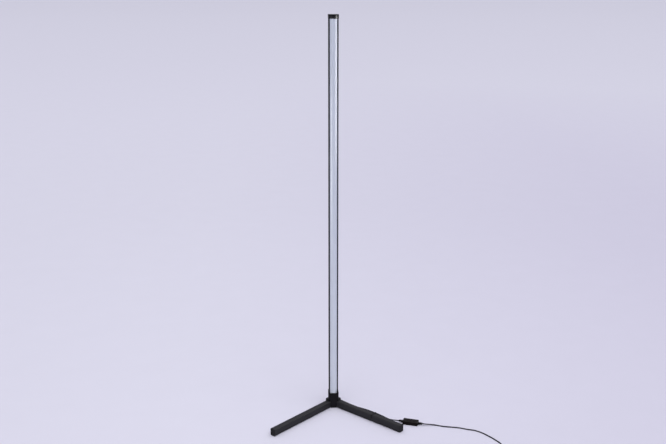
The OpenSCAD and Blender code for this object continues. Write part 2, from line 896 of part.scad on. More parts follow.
module controller_cover() {
    color("#2a2522") controller_frame() difference() {
        union() {
            difference() {
                intersection() {
                    controller_block();
                    between(controller_axis, controller_h) square(2 * controller_l, center = true);
                }
                controller_room();
            }
            at_shell_screws() translate([0, 0, board_top + screw_gap])
                cylinder(h = room_ceiling - board_top, d = post_d);
        }
        at_shell_screws() translate([0, 0, screw_gap])
            countersunk(shell_screw_d, shell_screw_l, screw_gap);
        at_buttons() cylinder(h = controller_h + cut, d = button_d + 2 * button_gap);
    }
}

module controller_screws() {
    color("#9a9ca0") controller_frame() at_shell_screws() translate([0, 0, screw_gap])
        countersunk(shell_screw_d, shell_screw_l);
}

module controller_board() {
    color("#2f5d3a") controller_frame() difference() {
        translate([-board_size[0] / 2, -board_size[1] / 2, board_foot]) cube(board_size);
        at_shell_screws() cylinder(h = controller_h, d = shell_screw_d + 2 * slide_gap);
    }
}

module at_buttons() {
    for (i = [-1, 0, 1]) translate([i * button_pitch, 0, 0]) children();
}

module controller_switches() {
    color("#3f3f42") controller_frame() at_buttons() difference() {
        translate([-switch_w / 2, -switch_w / 2, board_top]) cube([switch_w, switch_w, switch_h]);
        translate([0, 0, switch_top - plunger_depth])
            cylinder(h = plunger_depth + cut, d = plunger_d + 2 * slide_gap);
    }
}

// Button i with its flange under the cover and the plunger that works its switch
module button(i) {
    flange_top = room_ceiling - fit_gap;
    plunger_foot = switch_top - plunger_depth + slide_gap + fit_gap + button_travel;
    crown_foot = controller_h + button_rise - button_crown;
    color("#332d29") controller_frame() translate([i * button_pitch, 0, 0]) {
        translate([0, 0, flange_top - flange_t]) {
            cylinder(h = flange_t, d = flange_d);
            cylinder(h = crown_foot - flange_top + flange_t, d = button_d);
        }
        translate([0, 0, crown_foot])
            cylinder(h = button_crown, d1 = button_d, d2 = button_d - 2 * button_crown);
        translate([0, 0, plunger_foot]) cylinder(h = flange_top - plunger_foot, d = plunger_d);
    }
}

// Relief at one end of the controller
module relief(side) {
    color("#211d1b") controller_frame() translate([side * controller_l / 2, 0, controller_axis])
        rotate([0, side * 90, 0]) cord_relief(relief_neck, relief_d, relief_end_d, shell_wall, relief_l);
}

// ---- Plug ----

module plug_frame() {
    translate([plug_place[0], plug_place[1], plug_axis]) rotate([90, 0, 0]) children();
}

module plug_cord() {
    color("#232330") cord(plug_route, cord_d, 8);
}

module plug_body() {
    color("#1a1a1c") plug_frame() {
        cylinder(h = plug_neck_l, d1 = relief_tip_d, d2 = plug_neck_d);
        translate([0, 0, plug_neck_l]) linear_extrude(plug_l - plug_neck_l)
            plan(plug_w, -plug_h / 2, plug_h / 2, plug_bevel, plug_bevel);
    }
}

module plug_shell() {
    color("#b9bcc2") plug_frame() translate([0, 0, plug_l]) difference() {
        translate([-contact_w / 2, -contact_h / 2, 0]) cube([contact_w, contact_h, contact_l]);
        translate([contact_wall - contact_w / 2, contact_wall - contact_h / 2, -cut])
            cube([contact_w - 2 * contact_wall, contact_h - 2 * contact_wall, contact_l + 2 * cut]);
        for (side = [-1, 1]) translate([side * contact_w / 4 - 1.2, 0, contact_l / 2])
            cube([2.4, contact_h, 2.2]);
    }
}

module plug_tongue() {
    color("#e9e9e6") plug_frame()
        translate([fit_gap + contact_wall - contact_w / 2, contact_wall - contact_h / 2, plug_l])
            cube([contact_w - 2 * (contact_wall + fit_gap), tongue_t, contact_l - 1]);
}

profile(0);  // profile_lower
profile(1);  // profile_middle
profile(2);  // profile_upper
diffuser(0);  // diffuser_lower
diffuser(1);  // diffuser_middle
diffuser(2);  // diffuser_upper
splice(1);  // splice_lower
splice(2);  // splice_upper
grub_screws();
light_strip();
light_chips();
strip_connector();
inner_lead();
top_cap();
hub_body();
hub_screws();
corner_bracket();
bottom_cover();
cover_screws();
hub_pad();
leg(-1);  // leg_left
leg(1);  // leg_right
leg_screws();
leg_plug(-1);  // leg_plug_left
leg_plug(1);  // leg_plug_right
leg_foot(-1);  // leg_foot_left
leg_foot(1);  // leg_foot_right
cord_grommet();
lead_cord();
cord_clip();
controller_base();
controller_cover();
controller_screws();
controller_board();
controller_switches();
button(-1);  // button_left
button(0);  // button_middle
button(1);  // button_right
relief(-1);  // relief_in
relief(1);  // relief_out
supply_cord();
cord_coil();
plug_cord();
plug_body();
plug_shell();
plug_tongue();
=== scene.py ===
"""Corner floor lamp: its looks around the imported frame. Metres, +Z up, the light side faces -Y."""
import json
import math

import bmesh
import bpy
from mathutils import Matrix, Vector


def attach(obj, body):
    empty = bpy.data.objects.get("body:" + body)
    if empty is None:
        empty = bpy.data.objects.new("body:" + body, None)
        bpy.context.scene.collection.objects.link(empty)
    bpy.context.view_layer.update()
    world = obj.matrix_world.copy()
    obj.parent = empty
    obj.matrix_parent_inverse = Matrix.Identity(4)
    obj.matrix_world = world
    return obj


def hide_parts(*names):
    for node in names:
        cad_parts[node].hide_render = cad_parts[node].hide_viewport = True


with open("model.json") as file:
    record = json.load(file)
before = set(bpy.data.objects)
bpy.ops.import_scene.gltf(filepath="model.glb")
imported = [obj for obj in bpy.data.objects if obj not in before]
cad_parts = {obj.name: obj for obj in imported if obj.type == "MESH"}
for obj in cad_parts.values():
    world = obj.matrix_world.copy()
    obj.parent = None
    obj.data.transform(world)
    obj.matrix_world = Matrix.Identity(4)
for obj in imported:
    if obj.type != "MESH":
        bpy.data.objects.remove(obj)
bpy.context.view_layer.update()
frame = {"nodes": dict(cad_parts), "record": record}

MM = 0.001


# ---- Camera ----

# Place in millimetres, pitch below the horizon and heading to the right in degrees
CAMERA_PLACE = (-195.4, -3092.3, 1539.2)
CAMERA_PITCH = 15.24
CAMERA_HEADING = 3.60
LENS_MM = 50
SENSOR_MM = 36


def make_camera():
    data = bpy.data.cameras.new("camera")
    data.lens = LENS_MM
    data.sensor_width = SENSOR_MM
    data.clip_start = 0.05
    data.clip_end = 300
    cam = bpy.data.objects.new("camera", data)
    bpy.context.scene.collection.objects.link(cam)
    cam.location = [c * MM for c in CAMERA_PLACE]
    cam.rotation_euler = (math.radians(90 - CAMERA_PITCH), 0, math.radians(-CAMERA_HEADING))
    bpy.context.scene.camera = cam


make_camera()


# ---- Cords, along the routes of the construction, in millimetres ----

CORD_D = 4.0
CORD_SIDES = 5
CORD_STEPS = 5
LEAD_ROUTE = [
    (0, 26.1, 20.5), (0, 30, 20.5), (1, 37, 18.5), (5, 43, 14.5), (12, 46, 9.5), (20, 44, 5.5),
    (27, 37, 3.2), (34, 28, 2.3), (43, 18, 2.1), (53, 6, 2.6), (62, -8, 4), (70, -23, 6.5),
    (77, -38, 10), (84, -53, 14.2), (91.2, -66, 18.4), (99.3, -78.7, 21.8), (108.4, -89.1, 23.7),
    (117.7, -98.8, 24.4), (126.7, -107.8, 24.55), (138.1, -119.2, 24.55),
    (146.6, -127.7, 24.55), (153.3, -134.1, 24.3), (161.1, -140.1, 23.3), (169.5, -144.2, 20.3),
    (178.5, -146, 16), (189, -146.4, 11), (200, -146.4, 8), (210.5, -147, 6.7),
    (218.6, -148.4, 6.5), (222.4, -149.6, 6.5),
]
SUPPLY_ROUTE = [
    (301.6, -178.4, 6.5), (305.4, -179.8, 6.5), (312, -181.2, 6.1), (320, -181.2, 5.2),
    (329, -180.8, 4), (338, -181.2, 3), (348, -183.4, 2.3), (358, -187.5, 2), (368, -192, 2),
    (378, -195.5, 2), (388, -198, 2), (403, -201.5, 2), (418, -205.5, 2), (428, -209, 2),
    (438, -213.5, 2), (447, -218, 2), (457, -222.5, 2), (467, -226, 2), (476, -230, 2),
    (485, -236.5, 2), (493, -244, 2), (502, -254, 2), (510, -265, 2), (518, -277, 2),
    (525, -288, 2), (532, -300.5, 2), (539, -314, 2), (544, -327, 2), (547, -341, 2),
    (548, -355, 2), (548, -370, 2), (548, -385, 2),
]
PLUG_ROUTE = [
    (575, -358, 6.6), (567, -358.2, 6.6), (558, -359.2, 6.6), (548, -361.4, 6.6),
    (538.5, -364.6, 5.6), (529, -369.2, 3.6), (521, -375, 2.4), (516, -382, 2.9),
    (514, -389, 4.2), (514, -393, 4.2),
]
# The coil: radius of its first turn, distance between turns and layers, points for each turn
COIL_R = 31.0
COIL_STEP = 4.7
COIL_RISE = 4.6
COIL_TURNS = 6.75
COIL_RINGS = 24


def coil_points():
    """Turns that wind inwards on the floor and back outwards on top of these."""
    x0, y0, z0 = SUPPLY_ROUTE[-1]
    centre = (x0 + COIL_R, y0 - CORD_D)
    half = COIL_TURNS / 2
    points = []
    for i in range(int(COIL_TURNS * COIL_RINGS) + 1):
        u = i / COIL_RINGS
        r = COIL_R - COIL_STEP * (half - abs(u - half))
        climb = min(1, max(0, 0.5 + 2 * (u - half)))
        climb = climb * climb * (3 - 2 * climb)
        a = math.radians(180 + 360 * u)
        points.append((centre[0] + r * math.cos(a), centre[1] + r * math.sin(a),
                       z0 + COIL_RISE * climb))
    return points


def cord_curve(name, route, diameter):
    """Round cord as a curve of one smooth spline through the route's points."""
    data = bpy.data.curves.new(name, "CURVE")
    data.dimensions = "3D"
    data.bevel_depth = diameter / 2 * MM
    data.bevel_resolution = CORD_SIDES
    data.use_fill_caps = True
    data.resolution_u = CORD_STEPS
    spline = data.splines.new("BEZIER")
    spline.bezier_points.add(len(route) - 1)
    for point, place in zip(spline.bezier_points, route):
        point.co = [c * MM for c in place]
        point.handle_left_type = point.handle_right_type = "AUTO"
    piece = bpy.data.objects.new(name, data)
    bpy.context.scene.collection.objects.link(piece)
    return piece


lead = cord_curve("lead", LEAD_ROUTE, CORD_D)
supply = cord_curve("supply", SUPPLY_ROUTE + coil_points() + PLUG_ROUTE, CORD_D)


# ---- Materials ----

# How far a softened normal turns from the true one, as a cosine: at an edge, and on a flat face
EDGE_TURN = (0.82, 0.995)


class Finish:
    """A material in the making, with short ways to add and join its nodes."""

    def __init__(self, name, color, roughness, metallic=0.0):
        self.data = bpy.data.materials.new(name)
        self.data.use_nodes = True
        self.tree = self.data.node_tree
        self.shader = self.tree.nodes["Principled BSDF"]
        self.color = color
        self.shader.inputs["Base Color"].default_value = (*color, 1)
        self.shader.inputs["Roughness"].default_value = roughness
        self.shader.inputs["Metallic"].default_value = metallic
        self.place = self.node("ShaderNodeTexCoord").outputs["Object"]
        self.normal = None

    def node(self, kind, **settings):
        made = self.tree.nodes.new(kind)
        for key, value in settings.items():
            setattr(made, key, value)
        return made

    def feed(self, socket, value):
        """Links a node's output to the socket, or sets the socket to a plain value."""
        if isinstance(value, bpy.types.NodeSocket):
            self.tree.links.new(value, socket)
        else:
            socket.default_value = value

    def constants(self, **values):
        """Sets inputs of the shader that are the same all over the surface."""
        for key, value in values.items():
            name = key.replace("_", " ").title().replace("Ior", "IOR")
            self.shader.inputs[name].default_value = value

    def stretched(self, scale):
        """The object's coordinates times a scale per axis, in features per metre."""
        made = self.node("ShaderNodeVectorMath", operation="MULTIPLY")
        self.feed(made.inputs[0], self.place)
        made.inputs[1].default_value = scale
        return made.outputs["Vector"]

    def noise(self, per_metre, detail=3.0, rough=0.5, offset=0.0):
        """Smooth noise from 0 to 1. per_metre is one number, or one for each axis."""
        if not hasattr(per_metre, "__len__"):
            per_metre = (per_metre,) * 3
        made = self.node("ShaderNodeTexNoise", noise_dimensions="4D")
        made.inputs["Scale"].default_value = 1
        made.inputs["Detail"].default_value = detail
        made.inputs["Roughness"].default_value = rough
        made.inputs["W"].default_value = offset
        self.feed(made.inputs["Vector"], self.stretched(per_metre))
        return made.outputs[0]

    def spread(self, value, low, high, from_low=0.3, from_high=0.7):
        """A value mapped from one range to another, and held to it."""
        made = self.node("ShaderNodeMapRange", clamp=True)
        self.feed(made.inputs["Value"], value)
        made.inputs["From Min"].default_value = from_low
        made.inputs["From Max"].default_value = from_high
        made.inputs["To Min"].default_value = low
        made.inputs["To Max"].default_value = high
        return made.outputs["Result"]

    def mixed(self, factor, first, second):
        """One colour turning into another with the factor."""
        made = self.node("ShaderNodeMix", data_type="RGBA")
        self.feed(made.inputs[0], factor)
        for socket, value in ((made.inputs[6], first), (made.inputs[7], second)):
            self.feed(socket, value if isinstance(value, bpy.types.NodeSocket) else (*value, 1))
        return made.outputs[2]

    def paint(self, color):
        self.feed(self.shader.inputs["Base Color"], color)
        self.color = color

    def gloss(self, value):
        self.feed(self.shader.inputs["Roughness"], value)

    def bump(self, height, depth_mm):
        """Adds relief of the given depth, on top of the relief that is there."""
        made = self.node("ShaderNodeBump")
        made.inputs["Strength"].default_value = 1
        made.inputs["Distance"].default_value = depth_mm * MM
        self.feed(made.inputs["Height"], height)
        if self.normal is not None:
            self.feed(made.inputs["Normal"], self.normal)
        self.normal = made.outputs["Normal"]
        self.feed(self.shader.inputs["Normal"], self.normal)

    def edges(self, radius_mm, color, amount):
        """Softened edges, a little lighter where hands and cloths rub them."""
        soft = self.node("ShaderNodeBevel", samples=6)
        soft.inputs["Radius"].default_value = radius_mm * MM
        if self.normal is None:
            self.normal = soft.outputs["Normal"]
            self.feed(self.shader.inputs["Normal"], self.normal)
        true = self.node("ShaderNodeNewGeometry").outputs["True Normal"]
        turned = self.node("ShaderNodeVectorMath", operation="DOT_PRODUCT")
        self.feed(turned.inputs[0], soft.outputs["Normal"])
        self.feed(turned.inputs[1], true)
        mask = self.spread(turned.outputs["Value"], amount, 0, *EDGE_TURN)
        base = self.color if isinstance(self.color, bpy.types.NodeSocket) else tuple(self.color)
        self.paint(self.mixed(mask, base, color))


def scaled(color, factor):
    return tuple(c * factor for c in color)


def anodised(name):
    """Satin black extrusion: fine lengthwise die lines and a faint mottle."""
    m = Finish(name, (0.0075, 0.0068, 0.0115), 0.4)
    m.constants(specular_ior_level=0.26)
    lines = m.noise((5200, 5200, 9), 2, 0.6)
    mottle = m.noise(60, 4, 0.6, 3.1)
    m.paint(m.mixed(m.spread(mottle, 0, 1), (0.006, 0.0054, 0.0095), (0.009, 0.0082, 0.0135)))
    m.gloss(m.spread(lines, 0.42, 0.54))
    m.bump(lines, 0.012)
    m.edges(0.35, (0.018, 0.017, 0.023), 0.3)
    return m.data


def powder_coated(name):
    """Black powder coat: orange peel over a fine grain, rubbed a little along the edges."""
    m = Finish(name, (0.0115, 0.011, 0.0145), 0.5)
    m.constants(specular_ior_level=0.24)
    peel = m.noise(900, 2, 0.5)
    grain = m.noise(4200, 3, 0.6, 1.7)
    dust = m.noise(26, 5, 0.65, 5.3)
    m.paint(m.mixed(m.spread(dust, 0, 1), (0.007, 0.0066, 0.0095), (0.0125, 0.012, 0.0155)))
    m.gloss(m.spread(grain, 0.42, 0.56))
    m.bump(peel, 0.05)
    m.bump(grain, 0.012)
    m.edges(0.5, (0.028, 0.027, 0.033), 0.25)
    return m.data


def opal(name):
    """Milky glossy cover: light enters a little, faint flow lines from the extrusion."""
    m = Finish(name, (0.70, 0.750, 0.878), 0.2)
    m.constants(subsurface_weight=0.35, subsurface_scale=0.004, specular_ior_level=0.5)
    m.shader.inputs["Subsurface Radius"].default_value = (1.0, 1.0, 1.1)
    flow = m.noise((900, 900, 1.5), 3, 0.5)
    cloud = m.noise((14, 14, 2.4), 3, 0.5, 2.2)
    tint = m.mixed(m.spread(cloud, 0, 1), (0.682, 0.731, 0.860), (0.718, 0.769, 0.896))
    m.paint(m.mixed(m.spread(flow, 0, 0.35), tint, (0.662, 0.712, 0.840)))
    m.gloss(m.spread(flow, 0.17, 0.26))
    m.bump(flow, 0.006)
    return m.data


def moulded(name, color, specular, rough=0.46, grain_mm=0.018, per_metre=2600):
    """Moulded plastic with a fine spark-eroded grain, smoother and lighter on its edges."""
    m = Finish(name, color, rough)
    m.constants(specular_ior_level=specular)
    grain = m.noise(per_metre, 3, 0.62)
    flow = m.noise(45, 3, 0.5, 4.4)
    m.paint(m.mixed(m.spread(flow, 0, 1), scaled(color, 0.85), scaled(color, 1.18)))
    m.gloss(m.spread(grain, rough - 0.07, rough + 0.09))
    m.bump(grain, grain_mm)
    m.edges(0.3, tuple(0.9 * c + 0.008 for c in color), 0.3)
    return m.data


def glossy_cap(name):
    """Polished black moulding with faint wiping marks."""
    m = Finish(name, (0.005, 0.005, 0.0065), 0.22)
    m.constants(specular_ior_level=0.3, coat_weight=0.12, coat_roughness=0.1)
    wiped = m.noise((260, 900, 60), 4, 0.6)
    m.gloss(m.spread(wiped, 0.18, 0.3))
    m.paint(m.mixed(m.spread(wiped, 0, 1), (0.004, 0.004, 0.0052), (0.007, 0.007, 0.0085)))
    m.bump(m.noise(300, 2), 0.006)
    m.edges(0.3, (0.015, 0.015, 0.018), 0.4)
    return m.data


def rubber(name):
    """Matt black rubber with a coarse moulded grain."""
    m = Finish(name, (0.009, 0.009, 0.0095), 0.72)
    m.constants(specular_ior_level=0.15)
    grain = m.noise(1700, 4, 0.65)
    m.paint(m.mixed(m.spread(m.noise(90, 4), 0, 1), (0.006, 0.006, 0.0065), (0.012, 0.0115, 0.012)))
    m.gloss(m.spread(grain, 0.64, 0.82))
    m.bump(grain, 0.03)
    m.edges(0.3, (0.019, 0.019, 0.019), 0.3)
    return m.data


def jacket(name):
    """Soft vinyl cord jacket: satin, with the slight waviness that it keeps from its drum."""
    m = Finish(name, (0.0065, 0.0062, 0.012), 0.42)
    m.constants(specular_ior_level=0.22)
    skin = m.noise(2400, 3, 0.6)
    wave = m.noise(110, 3, 0.5, 2.7)
    m.paint(m.mixed(m.spread(wave, 0, 1), (0.005, 0.0048, 0.010), (0.0085, 0.008, 0.0145)))
    m.gloss(m.spread(skin, 0.36, 0.52))
    m.bump(wave, 0.12)
    m.bump(skin, 0.012)
    return m.data


def metal(name, color, rough, per_metre, relief_mm, spot=0.12):
    """Bare or plated metal: a grain of its own scale and slight tarnish."""
    m = Finish(name, color, rough, 1.0)
    grain = m.noise(per_metre, 4, 0.6)
    tarnish = m.noise(140, 5, 0.65, 6.6)
    m.paint(m.mixed(m.spread(tarnish, 0, 1), scaled(color, 1 - spot), scaled(color, 1 + spot / 2)))
    m.gloss(m.spread(grain, max(rough - 0.1, 0.05), rough + 0.12))
    m.bump(grain, relief_mm)
    m.edges(0.2, tuple(min(1, 1.25 * c + 0.05) for c in color), 0.5)
    return m.data


def enamel(name, color, rough):
    """Small printed or moulded part: a smooth skin with slight unevenness."""
    m = Finish(name, color, rough)
    uneven = m.noise(420, 4, 0.6)
    m.paint(m.mixed(m.spread(uneven, 0, 1), scaled(color, 0.9), scaled(color, 1.06)))
    m.gloss(m.spread(m.noise(1500, 3, 0.6, 1.3), rough - 0.06, rough + 0.1))
    m.bump(uneven, 0.02)
    m.edges(0.15, tuple(min(1, 1.15 * c + 0.02) for c in color), 0.4)
    return m.data


def board(name):
    """Solder mask with the faint darker traces under it."""
    m = Finish(name, (0.03, 0.14, 0.06), 0.3)
    traces = m.node("ShaderNodeTexBrick", offset=0.5)
    m.feed(traces.inputs["Vector"], m.stretched((1, 1, 1)))
    traces.inputs["Scale"].default_value = 160
    traces.inputs["Mortar Size"].default_value = 0.035
    traces.inputs["Color1"].default_value = (0.028, 0.13, 0.055, 1)
    traces.inputs["Color2"].default_value = (0.034, 0.155, 0.066, 1)
    traces.inputs["Mortar"].default_value = (0.05, 0.22, 0.09, 1)
    m.paint(traces.outputs["Color"])
    m.gloss(m.spread(m.noise(800, 3), 0.24, 0.38))
    m.bump(traces.outputs["Fac"], 0.03)
    return m.data


FINISHES = {
    "black_aluminium": anodised("black_aluminium"),
    "black_coated_steel": powder_coated("black_coated_steel"),
    "cast_aluminium": metal("cast_aluminium", (0.42, 0.43, 0.45), 0.5, 1300, 0.06, 0.2),
    "opal_plastic": opal("opal_plastic"),
    "black_gloss": glossy_cap("black_gloss"),
    "black_moulded": moulded("black_moulded", (0.0050, 0.0047, 0.0062), 0.14),
    "brown_black_plastic": moulded("brown_black_plastic", (0.0062, 0.0042, 0.0040), 0.07,
                                   0.42, 0.014, 3000),
    "black_rubber": rubber("black_rubber"),
    "cord_jacket": jacket("cord_jacket"),
    "steel": metal("steel", (0.52, 0.53, 0.55), 0.32, 2600, 0.01),
    "black_steel": metal("black_steel", (0.05, 0.05, 0.055), 0.4, 2600, 0.012),
    "nickel": metal("nickel", (0.70, 0.69, 0.66), 0.2, 3400, 0.004, 0.06),
    "strip_white": enamel("strip_white", (0.80, 0.79, 0.75), 0.4),
    "chip_yellow": enamel("chip_yellow", (0.82, 0.70, 0.30), 0.28),
    "white_plastic": enamel("white_plastic", (0.80, 0.80, 0.79), 0.38),
    "board_green": board("board_green"),
}

NODE_SLOTS = {}
for part in frame["record"]["subparts"]:
    NODE_SLOTS[part["node"]] = part["material_slot"]
for name, node in frame["nodes"].items():
    node.data.materials.clear()
    node.data.materials.append(FINISHES[NODE_SLOTS[name]])
for piece in (lead, supply):
    piece.data.materials.append(FINISHES["cord_jacket"])


# ---- Making meshes ----

def body_of(node):
    """The name of the body that the node belongs to."""
    for body, nodes in frame["record"]["behaviour"]["bodies"].items():
        if node in nodes:
            return body


WELD = 2e-6
FLAT_ANGLE = 0.6


def clean_copy(node):
    """The node's mesh as a new one, with its triangles merged into whole flat faces."""
    bm = bmesh.new()
    bm.from_mesh(frame["nodes"][node].data)
    bmesh.ops.remove_doubles(bm, verts=bm.verts, dist=WELD)
    bmesh.ops.dissolve_limit(bm, angle_limit=math.radians(FLAT_ANGLE), verts=bm.verts,
                             edges=bm.edges)
    return bm


def dressed(name, bm, *nodes):
    """A piece made of the mesh, in the finish and on the body of the node that it stands for."""
    mesh = bpy.data.meshes.new(name)
    bm.to_mesh(mesh)
    bm.free()
    piece = bpy.data.objects.new(name, mesh)
    bpy.context.scene.collection.objects.link(piece)
    slot = NODE_SLOTS[nodes[0]]
    mesh.materials.append(FINISHES[slot])
    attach(piece, body_of(nodes[0]))
    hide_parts(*nodes)
    return piece


# Edges that turn more than this many degrees get a radius, and faces outweigh their radii
EDGE_ANGLE = 32
EDGE_SEGMENTS = 3
FACE_WEIGHT = 80


def round_edges(piece, width_mm):
    """Radii along the edges, with the flat faces kept flat."""
    bevel = piece.modifiers.new("edges", "BEVEL")
    bevel.width = width_mm * MM
    bevel.segments = EDGE_SEGMENTS
    bevel.limit_method = "ANGLE"
    bevel.angle_limit = math.radians(EDGE_ANGLE)
    bevel.miter_outer = "MITER_ARC"
    flat = piece.modifiers.new("flat_faces", "WEIGHTED_NORMAL")
    flat.mode = "FACE_AREA"
    flat.weight = FACE_WEIGHT
    for polygon in piece.data.polygons:
        polygon.use_smooth = True


def smooth_below(piece, angle):
    """Smooth shading across edges that turn less than the angle."""
    mesh = piece.data
    for polygon in mesh.polygons:
        polygon.use_smooth = True
    mesh.set_sharp_from_angle(angle=math.radians(angle))


def rounded(outline, radii, steps=7):
    """A closed outline, anticlockwise, with an arc of the given radius at each corner."""
    points = []
    n = len(outline)
    for i in range(n):
        corner = Vector(outline[i])
        before = (Vector(outline[i - 1]) - corner).normalized()
        after = (Vector(outline[(i + 1) % n]) - corner).normalized()
        half = before.angle(after) / 2
        radius = radii[i] if hasattr(radii, "__len__") else radii
        if radius <= 0:
            points.append(corner)
            continue
        middle = corner + (before + after).normalized() * (radius / math.sin(half))
        reach = radius / math.tan(half)
        start, end = corner + before * reach - middle, corner + after * reach - middle
        turn = start.angle(end)
        for k in range(steps + 1):
            f = k / steps
            way = (math.sin((1 - f) * turn) * start + math.sin(f * turn) * end) / math.sin(turn)
            points.append(middle + way)
    return points


# Least share of a mitre's cosine, so that a sharp corner isn't drawn in too far
MITRE_LIMIT = 0.35


def inset(points, margin):
    """The outline drawn in by a margin, point by point along its mitres."""
    out = []
    n = len(points)
    for i in range(n):
        before = (points[i] - points[i - 1]).normalized()
        after = (points[(i + 1) % n] - points[i]).normalized()
        normal = Vector((-(before.y + after.y), before.x + after.x)).normalized()
        half_cos = math.sqrt((1 + before.dot(after)) / 2)
        out.append(points[i] + normal * margin / max(MITRE_LIMIT, half_cos))
    return out


def loft(bm, loops):
    """Closed skin through loops of equally many points, given as (outline, height)."""
    rings = [[bm.verts.new((p.x * MM, p.y * MM, z * MM)) for p in outline] for outline, z in loops]
    for low, high in zip(rings, rings[1:]):
        n = len(low)
        for i in range(n):
            bm.faces.new((low[i], low[(i + 1) % n], high[(i + 1) % n], high[i]))
    bm.faces.new(list(reversed(rings[0])))
    bm.faces.new(rings[-1])


def softened_loops(outline, low, high, low_r, high_r, steps=4):
    """Loops of an upright prism whose lower and upper edges have the given radii."""
    loops = []
    for k in range(steps + 1):
        a = math.pi / 2 * k / steps
        loops.append((inset(outline, low_r * (1 - math.sin(a))), low + low_r * (1 - math.cos(a))))
    for k in range(steps + 1):
        a = math.pi / 2 * k / steps
        loops.append((inset(outline, high_r * (1 - math.cos(a))),
                      high - high_r * (1 - math.sin(a))))
    return loops


def subtract(piece, bm):
    """Cuts the mesh out of the piece and applies the cut."""
    mesh = bpy.data.meshes.new("cutter")
    bm.to_mesh(mesh)
    bm.free()
    cutter = bpy.data.objects.new("cutter", mesh)
    bpy.context.scene.collection.objects.link(cutter)
    cut = piece.modifiers.new("cut", "BOOLEAN")
    cut.operation = "DIFFERENCE"
    cut.solver = "EXACT"
    cut.object = cutter
    graph = bpy.context.evaluated_depsgraph_get()
    result = bpy.data.meshes.new_from_object(piece.evaluated_get(graph))
    piece.modifiers.remove(cut)
    old = piece.data
    piece.data = result
    bpy.data.meshes.remove(old)
    bpy.data.objects.remove(cutter)
    bpy.data.meshes.remove(mesh)


# ---- Hub: a moulded sleeve around the column, on a block with the two leg mouths ----

# In millimetres, as in the construction
SLEEVE_FOOT, SLEEVE_TOP, SHELF = 27.4, 58.0, 34.0
SLEEVE_WALL, SLEEVE_FRONT_R, SLEEVE_BACK_R = 1.5, 5, 6.5
BLOCK_FOOT, BLOCK_TOP, MOUTH_TOP = 1.2, 31.5, 26.4
HUB_HALF, HUB_FRONT, HUB_BACK = 18.5, -25.0, 15.0
HUB_REACH, HUB_SIDE = 25.6, 14.0
# The block's front and back lie this far behind the sleeve's, so that the faces don't coincide
BLOCK_STEP = 0.3
# The leg's channel: half its width, and its two ends along the leg
CHANNEL_SIDE, CHANNEL_START, CHANNEL_END = 10.2, 12, 60
MOUTH_EDGE_R = 0.35
SHORTEST_EDGE = 2


def on_leg(t, p):
    """Point beside the right leg: t along it, p to its outer side."""
    return ((t + p) / math.sqrt(2), (p - t) / math.sqrt(2))


def sleeve_mesh():
    """The sleeve: its outer side, its rounded rim and its inside down to the shelf."""
    outline = rounded([(-HUB_HALF, HUB_FRONT), (HUB_HALF, HUB_FRONT), (HUB_HALF, HUB_BACK),
                       (-HUB_HALF, HUB_BACK)],
                      (SLEEVE_FRONT_R, SLEEVE_FRONT_R, SLEEVE_BACK_R, SLEEVE_BACK_R), 9)
    rim = SLEEVE_WALL / 2
    loops = softened_loops(outline, SLEEVE_FOOT, SLEEVE_TOP - rim, 0.5, 0, 3)[:5]
    rim_steps = 8
    for k in range(rim_steps + 1):
        a = math.pi * k / rim_steps
        loops.append((inset(outline, rim * (1 - math.cos(a))),
                      SLEEVE_TOP - rim + rim * math.sin(a)))
    loops.append((inset(outline, SLEEVE_WALL), SHELF + 0.6))
    loops.append((inset(outline, SLEEVE_WALL + 0.5), SHELF))
    bm = bmesh.new()
    loft(bm, loops)
    mesh = bpy.data.meshes.new("sleeve")
    bm.to_mesh(mesh)
    bm.free()
    return mesh


def make_hub():
    """The block with its two mouths cut, joined with the sleeve in one piece."""
    front, back = HUB_FRONT + BLOCK_STEP, HUB_BACK - BLOCK_STEP
    front_x = HUB_REACH * math.sqrt(2) + front
    back_x = HUB_SIDE * math.sqrt(2) - back
    side = on_leg(HUB_REACH, HUB_SIDE)
    block = rounded([(-front_x, front), (front_x, front), side, (back_x, back),
                     (-back_x, back), (-side[0], side[1])], (0.6, 0.6, 1.6, 1.4, 1.4, 1.6), 6)
    shell = bmesh.new()
    loft(shell, softened_loops(block, BLOCK_FOOT, BLOCK_TOP, 0.4, 1.1))
    piece = dressed("hub_shell", shell, "hub_body")
    for sign in (1, -1):
        cutter = bmesh.new()
        corners = [on_leg(CHANNEL_START, -CHANNEL_SIDE), on_leg(CHANNEL_END, -CHANNEL_SIDE),
                   on_leg(CHANNEL_END, CHANNEL_SIDE), on_leg(CHANNEL_START, CHANNEL_SIDE)]
        if sign < 0:
            corners = [(-x, y) for x, y in reversed(corners)]
        outline = [Vector(c) for c in corners]
        loft(cutter, [(outline, BLOCK_FOOT - 2), (outline, MOUTH_TOP)])
        subtract(piece, cutter)
    mouths = bmesh.new()
    mouths.from_mesh(piece.data)
    bmesh.ops.dissolve_limit(mouths, angle_limit=math.radians(0.3), verts=mouths.verts,
                             edges=mouths.edges)
    sharp = [e for e in mouths.edges if len(e.link_faces) == 2 and e.calc_face_angle() > 1.0
             and (e.verts[0].co - e.verts[1].co).length > SHORTEST_EDGE * MM]
    bmesh.ops.bevel(mouths, geom=sharp, offset=MOUTH_EDGE_R * MM, segments=2, affect="EDGES",
                    profile=0.5)
    mouths.to_mesh(piece.data)
    mouths.free()
    # Joined in a fresh mesh, because faces added to a bevelled one change order from run to run
    sleeve = sleeve_mesh()
    whole = bmesh.new()
    whole.from_mesh(piece.data)
    whole.from_mesh(sleeve)
    whole.to_mesh(piece.data)
    whole.free()
    bpy.data.meshes.remove(sleeve)
    smooth_below(piece, 38)
    return piece


# ---- Cap: the column's outline and the diffuser's bow, polished ----

# In millimetres, as in the construction
LAMP_TOP, COLUMN_TOP = 1400.0, 1386.5
COLUMN_W, COLUMN_FRONT, COLUMN_BACK = 33.5, -14.0, 13.25
